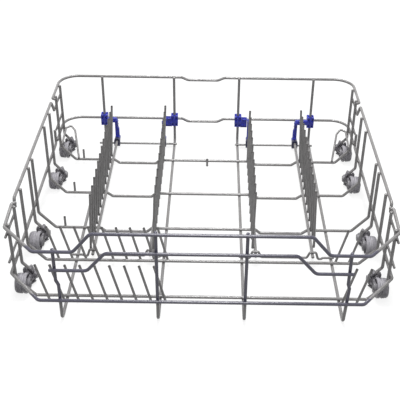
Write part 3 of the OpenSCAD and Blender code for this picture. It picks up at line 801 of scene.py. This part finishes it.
class RACK_OT_stage(bpy.types.Operator):
    """Sets up the white floor, the soft lights and the camera"""

    bl_idname = "rack.stage"
    bl_label = "Studio Stage"

    def execute(self, context):
        scene = context.scene
        scene.view_settings.view_transform = "Standard"
        camera = bpy.data.cameras.new("Camera")
        # Found by matching the wires' crossings with the photograph.
        yaw, pitch, roll = 0.0037954, 0.5771591, 0.016395
        forward = Vector((math.sin(yaw) * math.cos(pitch), math.cos(yaw) * math.cos(pitch), -math.sin(pitch)))
        right = Vector((math.cos(yaw), -math.sin(yaw), 0))
        up = right.cross(forward)
        right, up = right * math.cos(roll) + up * math.sin(roll), up * math.cos(roll) - right * math.sin(roll)
        placed = Matrix((right, up, -forward)).transposed().to_4x4()
        placed.translation = (0.0109623, -1.0383842, 0.7265779)
        camera.lens = 72.0493
        camera.sensor_width = 36
        camera.shift_x = -0.034585
        camera.shift_y = -0.021445
        camera.clip_start, camera.clip_end = 0.05, 30
        eye = bpy.data.objects.new("Camera", camera)
        eye.matrix_world = placed
        scene.collection.objects.link(eye)
        scene.camera = eye
        self.lights(scene)
        self.surround(scene)
        return {"FINISHED"}

    def lights(self, scene):
        """A long strip over the middle, from the front to the top, and a square lamp over the rear.

        The strip draws a light line along the middle of each wire that runs across.
        """
        for name, place, width, length, power in (
            ("Strip lamp", (0.0, -0.75, 1.9), 0.34, 1.9, 29),
            ("Rear lamp", (0.0, 0.8, 1.9), 0.7, 0.7, 27),
        ):
            lamp = bpy.data.lights.new(name, "AREA")
            lamp.shape = "RECTANGLE"
            lamp.size = width
            lamp.size_y = length
            lamp.energy = power
            holder = bpy.data.objects.new(name, lamp)
            holder.location = place
            holder.rotation_euler = (Vector((0, 0, 0.05)) - Vector(place)).to_track_quat("-Z", "Y").to_euler()
            scene.collection.objects.link(holder)

    def surround(self, scene):
        """A white floor that keeps the shadow, with a painted shade where its glow dims towards the rack, and a white
        background.
        """
        size = 12
        mesh = bpy.data.meshes.new("Floor")
        mesh.from_pydata([(-size, -size, 0), (size, -size, 0), (size, size, 0), (-size, size, 0)], [], [(0, 1, 2, 3)])
        paint = bpy.data.materials.new("Matt white paint")
        paint.use_nodes = True
        tree = paint.node_tree
        tree.nodes.clear()
        rays = add_node(tree, "ShaderNodeLightPath")
        seen = self.seen(tree, rays)
        matt = add_node(tree, "ShaderNodeBsdfDiffuse", {}, {"Color": (0.22, 0.22, 0.22, 1)})
        place = add_node(tree, "ShaderNodeTexCoord").outputs["Object"]
        away = add_node(tree, "ShaderNodeVectorMath", {"operation": "LENGTH"}, {0: place})
        # Painted shade: the glow seen on the floor drops from 1 far out to 0.84 near the rack, so the floor round and
        # under it is darker.
        painted_floor_shade = add_node(tree, "ShaderNodeMapRange", {"interpolation_type": "SMOOTHSTEP"}, {
            0: away.outputs["Value"], 1: 0.4, 2: 2.0, 3: 0.84, 4: 1.0,
        })
        lift = add_node(tree, "ShaderNodeMath", {"operation": "MULTIPLY"}, {0: seen, 1: painted_floor_shade.outputs[0]})
        glow = add_node(tree, "ShaderNodeEmission", {}, {"Color": (1, 1, 1, 1), "Strength": lift.outputs[0]})
        both = add_node(tree, "ShaderNodeAddShader", {}, {0: matt.outputs[0], 1: glow.outputs[0]})
        add_node(tree, "ShaderNodeOutputMaterial", {}, {"Surface": both.outputs[0]})
        new_object("Floor", mesh, paint)
        world = bpy.data.worlds.new("White room")
        scene.world = world
        world.use_nodes = True
        tree = world.node_tree
        tree.nodes.clear()
        rays = add_node(tree, "ShaderNodeLightPath")
        level = add_node(tree, "ShaderNodeMapRange", {}, {0: self.seen(tree, rays), 1: 0.0, 2: 1.0, 3: 0.1, 4: 1.0})
        white = add_node(tree, "ShaderNodeBackground", {}, {"Color": (1, 1, 1, 1), "Strength": level.outputs[0]})
        add_node(tree, "ShaderNodeOutputWorld", {}, {"Surface": white.outputs[0]})

    @staticmethod
    def seen(tree, rays):
        """1 for what the camera sees, directly, in a reflection or through something clear."""
        first = add_node(tree, "ShaderNodeMath", {"operation": "MAXIMUM"}, {
            0: rays.outputs["Is Camera Ray"], 1: rays.outputs["Is Glossy Ray"],
        })
        both = add_node(tree, "ShaderNodeMath", {"operation": "MAXIMUM"}, {
            0: first.outputs[0], 1: rays.outputs["Is Transmission Ray"],
        })
        return both.outputs[0]


WIRE_NODES = [
    n for n in NODES
    if not n.startswith(("roller_", "carrier_", "retainer_", "lever_", "bearings"))
]


class RACK_OT_wires(bpy.types.Operator):
    """Gives every wire of the frame its nylon coating"""

    bl_idname = "rack.wires"
    bl_label = "Coated Wires"

    def execute(self, context):
        for name in WIRE_NODES:
            mesh = NODES[name].data
            mesh.materials.clear()
            mesh.materials.append(material("wire"))
        return {"FINISHED"}


class RACK_OT_welds(bpy.types.Operator):
    """Fills the crevice of each weld with a small fillet of coating"""

    bl_idname = "rack.welds"
    bl_label = "Weld Fillets"

    def execute(self, context):
        shape = weld_shape(context.scene.rack_sizes)
        groups = [("rack", rack_routes())] + [(f"row_{i + 1}", row_routes(i)) for i in range(4)]
        for body, routes in groups:
            sites = []
            for middle, up, along, size in weld_sites(routes):
                side = up.cross(along).normalized()
                turn = Matrix((side.cross(up), side, up)).transposed().to_euler()
                sites.append((middle, turn, (size,) * 3))
            if not sites:
                raise RuntimeError(f"no welds found on {body}")
            piece = scatter(f"weld_fillets_{body}", sites, shape, material("wire"))
            seat(piece, body, "coated_wire")
        bpy.data.objects.remove(shape)
        return {"FINISHED"}


class RACK_OT_tips(bpy.types.Operator):
    """Rounds the free wire ends with domes of coating"""

    bl_idname = "rack.tips"
    bl_label = "Wire Ends"

    def execute(self, context):
        shape = tip_shape(context.scene.rack_sizes)

        def hidden(node, radius, tip):
            in_carrier = node.startswith("uprights") and tip.z < FOOT_Z
            under_floor = node == "pegs" and tip.z < 1
            in_lever = node.startswith("comb") and radius == FRAME_R and tip.y > 0
            return in_carrier or under_floor or in_lever

        groups = [("rack", rack_routes())] + [(f"row_{i + 1}", row_routes(i)) for i in range(4)]
        for body, routes in groups:
            ends = free_ends(routes, hidden)
            for kind, key in (("wire_ends", "wire"), ("tine_tips", "tip")):
                sites = []
                for tip, out, radius, node in ends:
                    worn = radius == TINE_R and out.z > 0
                    if worn == (key == "tip"):
                        size = radius * MM
                        sites.append((tip, out.to_track_quat("Z", "Y").to_euler(), (size,) * 3))
                if sites:
                    piece = scatter(f"{kind}_{body}", sites, shape, material(key))
                    seat(piece, body, "coated_wire")
        bpy.data.objects.remove(shape)
        return {"FINISHED"}


class RACK_OT_rollers(bpy.types.Operator):
    """Builds the eight rollers, with a grooved tread, a flange and pockets"""

    bl_idname = "rack.rollers"
    bl_label = "Rollers"

    def execute(self, context):
        made = roller_mesh(context.scene.rack_sizes)
        for i in range(8):
            side = -1 if i < 4 else 1
            mesh = made.copy()
            mesh.name = f"roller_body_{i + 1}"
            place = Matrix.Translation(Vector((side * ROLLER_IN, SHORT_Y[i % 4] - ROLLER_LEAD, ROLLER_R)) * MM)
            turn = Matrix.Rotation(math.pi if side < 0 else 0, 4, "Z")
            own_turn = Matrix.Rotation(0.7 + 1.9 * i, 4, "X")
            mesh.transform(place @ turn @ own_turn @ Matrix.Scale(MM, 4))
            mesh.materials.append(material("tread"))
            smooth(mesh, 40)
            piece = new_object(mesh.name, mesh)
            seat(piece, f"wheel_{i + 1}", "roller", f"roller_{i + 1}")
        bpy.data.meshes.remove(made)
        return {"FINISHED"}


class RACK_OT_carriers(bpy.types.Operator):
    """Builds the eight roller carriers, with their bosses and ribs"""

    bl_idname = "rack.carriers"
    bl_label = "Roller Carriers"

    def execute(self, context):
        for i in range(8):
            side = -1 if i < 4 else 1
            ys = SHORT_Y[i % 4]
            y = ys - ROLLER_LEAD
            face = ROLLER_IN - 3.2
            extra = bmesh.new()
            turn = Matrix.Rotation(math.pi if side < 0 else 0, 4, "Z")
            boss = Matrix.Translation((side * face, y, ROLLER_R)) @ turn
            lathe(extra, [(0.3, 7.6), (-0.35, 7.5), (-0.6, 7.2), (-0.6, 6.4), (-0.35, 6.1), (0.3, 6.0)], 40, boss)
            lathe(extra, [(0.3, 3.4), (-0.6, 3.3), (-0.9, 3.0), (-0.9, 1.6), (-0.6, 1.3), (0.3, 1.2)], 32, boss)
            piece = moulded(f"roller_carrier_{i + 1}", merged_copy(f"carrier_{i + 1}"), "carrier", extra)
            seat(piece, "rack", "carrier", f"carrier_{i + 1}")
        return {"FINISHED"}


class RACK_OT_locks(bpy.types.Operator):
    """Builds the four blue blocks that lock the folding rows upright"""

    bl_idname = "rack.locks"
    bl_label = "Row Locks"

    def execute(self, context):
        for i, x in enumerate(BLOCK_X):
            toward = 1 if COMB_X[i] > x else -1
            inner = i in (1, 2)
            pockets = bmesh.new()
            extra = bmesh.new()
            for side in (-1, 1):
                a, b = span(x, side * 2.0, side * 4.7)
                slab(pockets, (a, 231, BLOCK_Z + 1.8), (b, 238.6, BLOCK_Z + 7.8))
                slab(pockets, (a, 231, BLOCK_Z - 8.6), (b, 238.4, BLOCK_Z - 4.8))
                a, b = span(x, side * 2.9, side * 4.9)
                slab(pockets, (a, 239.6, BLOCK_Z + 2.6), (b, 245.4, BLOCK_Z + 12))
            slab(extra, (x - 1.5, 234.0, BLOCK_Z - 8.6), (x + 1.5, 235.6, BLOCK_Z + 8.6), 0.5)
            near, far = toward * (BLOCK_HALF + 0.8), toward * (abs(COMB_X[i] - x) - 5.6)
            if inner:
                a, b = span(x, near, far)
                slab(pockets, (a, 231, BLOCK_Z - 4.6), (b, 234.6, BLOCK_Z + 4.6))
                slab(pockets, (a - 1.6, 231, BLOCK_Z - 12), (b + 1.6, 235.4, BLOCK_Z - 7.6))
                slab(pockets, (a, 236.0, BLOCK_Z + 1.5), (b, 240.6, BLOCK_Z + 8))
                middle = (a + b) / 2
                slab(extra, (middle - 0.7, 233.1, BLOCK_Z - 4.9), (middle + 0.7, 235, BLOCK_Z + 4.9), 0.25)
            piece = moulded(f"row_lock_{i + 1}", merged_copy(f"retainer_{i + 1}"), "clip", extra, pockets)
            seat(piece, "rack", "blue_clip", f"retainer_{i + 1}")
        return {"FINISHED"}


class RACK_OT_levers(bpy.types.Operator):
    """Builds the four blue release levers on the rear ends of the folding rows"""

    bl_idname = "rack.levers"
    bl_label = "Release Levers"

    def execute(self, context):
        for i, x in enumerate(COMB_X):
            away = -1 if BLOCK_X[i] > x else 1
            top = BASE_Z + LEVER_LENGTH
            pockets = bmesh.new()
            outline = [(4.5, -21), (3.4, -21), (2.1, -18.5), (1.9, -4.6), (-0.6, 0.4), (-0.6, 2), (4.5, 2)]
            plate(pockets, [(x + away * dx, top + dz) for dx, dz in outline], 224, 238)
            slab(pockets, (x - 1.1, 226, BASE_Z + 9), (x + 1.1, 230.3, top - 12))
            bm = merged_copy(f"lever_{i + 1}")
            recess(bm, (0, 1, 0), 60, 1.2, 1.0)
            extra = bmesh.new()
            for k in range(5):
                z = BASE_Z + 9 + 6 * k
                slab(extra, (x - 2.6, 233.9, z - 0.45), (x + 2.6, 235.1, z + 0.45), 0.2)
            for k in range(3):
                z = BASE_Z + 32.4 + 2.1 * k
                slab(extra, (x - 2.7, 226.45, z - 0.35), (x + 2.7, 227.3, z + 0.35), 0.15)
            piece = moulded(f"release_lever_{i + 1}", bm, "clip", extra, pockets)
            seat(piece, f"row_{i + 1}", "blue_clip", f"lever_{i + 1}")
        return {"FINISHED"}


class RACK_OT_bearings(bpy.types.Operator):
    """Builds the dark bearings on the thin rear wires"""

    bl_idname = "rack.bearings"
    bl_label = "Rear Bearings"

    def execute(self, context):
        extra = bmesh.new()
        for x in COMB_X:
            for y in (REAR_WIRE_Y - 3.9, REAR_WIRE_Y + 3.9):
                turn = Matrix.Translation((x, y, BASE_Z)) @ Matrix.Rotation(math.pi / 2, 4, "Z")
                lathe(extra, [(-0.35, 4.9), (0.35, 4.9), (0.35, 3.4), (-0.35, 3.4)], 36, turn)
        piece = moulded("rear_bearings", merged_copy("bearings"), "bearing", extra)
        seat(piece, "rack", "dark_bearing", "bearings")
        return {"FINISHED"}


class RACK_PT_panel(bpy.types.Panel):
    """Lists the operators and the sizes and colours"""

    bl_idname = "RACK_PT_panel"
    bl_label = "Dishwasher Rack"
    bl_space_type = "VIEW_3D"
    bl_region_type = "UI"
    bl_category = "Rack"

    def draw(self, context):
        for step in OPERATORS:
            self.layout.operator(step.bl_idname)
        for group in (context.scene.rack_sizes, context.scene.rack_colours):
            box = self.layout.box()
            for key in group.__annotations__:
                box.prop(group, key)


OPERATORS = (
    RACK_OT_stage, RACK_OT_wires, RACK_OT_welds, RACK_OT_tips, RACK_OT_rollers,
    RACK_OT_carriers, RACK_OT_locks, RACK_OT_levers, RACK_OT_bearings,
)
CLASSES = (RackSizes, RackColours, *OPERATORS, RACK_PT_panel)


def register():
    for cls in CLASSES:
        bpy.utils.register_class(cls)
    bpy.types.Scene.rack_sizes = PointerProperty(type=RackSizes)
    bpy.types.Scene.rack_colours = PointerProperty(type=RackColours)


def unregister():
    del bpy.types.Scene.rack_colours
    del bpy.types.Scene.rack_sizes
    for cls in reversed(CLASSES):
        bpy.utils.unregister_class(cls)


def main():
    """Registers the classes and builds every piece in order."""
    register()
    bpy.ops.rack.stage()
    bpy.ops.rack.wires()
    bpy.ops.rack.welds()
    bpy.ops.rack.tips()
    bpy.ops.rack.rollers()
    bpy.ops.rack.carriers()
    bpy.ops.rack.locks()
    bpy.ops.rack.levers()
    bpy.ops.rack.bearings()


if __name__ == "__main__":
    main()
